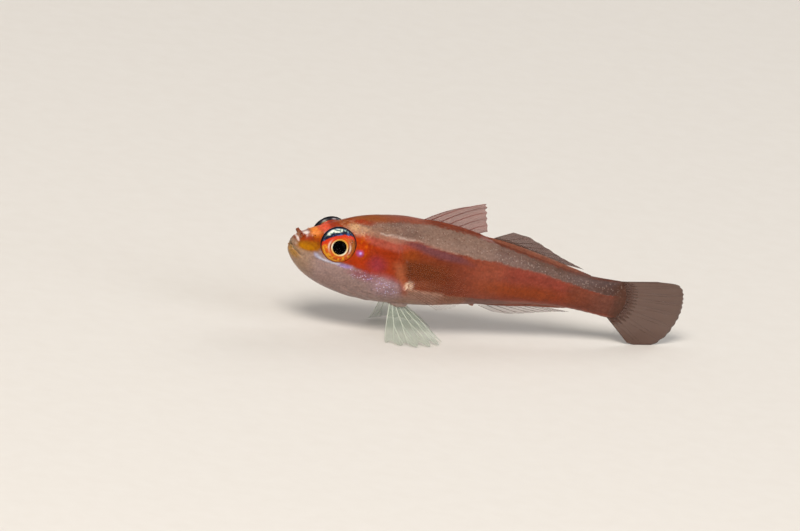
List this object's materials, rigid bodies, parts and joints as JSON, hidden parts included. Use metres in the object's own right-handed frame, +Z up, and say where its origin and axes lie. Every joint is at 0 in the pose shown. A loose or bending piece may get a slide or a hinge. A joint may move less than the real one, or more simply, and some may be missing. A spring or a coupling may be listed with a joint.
{
  "type": "still model of a coral dwarf goby",
  "caption": "Life-size still model of a small coral goby, perched on its spread belly fins and the lower edge of its tail fin, with its back fins half folded.",
  "frame": {"origin": "on the floor, under the middle of the whole fish's box", "axes": "+Z up, the head towards -X and the tail towards +X, the fish's left side towards -Y"},
  "size_m": [0.0308, 0.007, 0.0103],
  "materials": {
    "skin": "wet, smooth, finely scaled skin",
    "eye": "glossy, with a clear front",
    "fin": "thin, see-through membrane between rays"
  },
  "bodies": {
    "root": {"head": "skin", "trunk": "skin", "tail": "skin", "eye_left": "eye", "eye_right": "eye", "dorsal_fin_front": "fin", "dorsal_fin_rear": "fin", "anal_fin": "fin", "caudal_fin": "fin", "pectoral_fin_left": "fin", "pectoral_fin_right": "fin", "pelvic_fin_left": "fin", "pelvic_fin_right": "fin"}
  },
  "joints": []
}
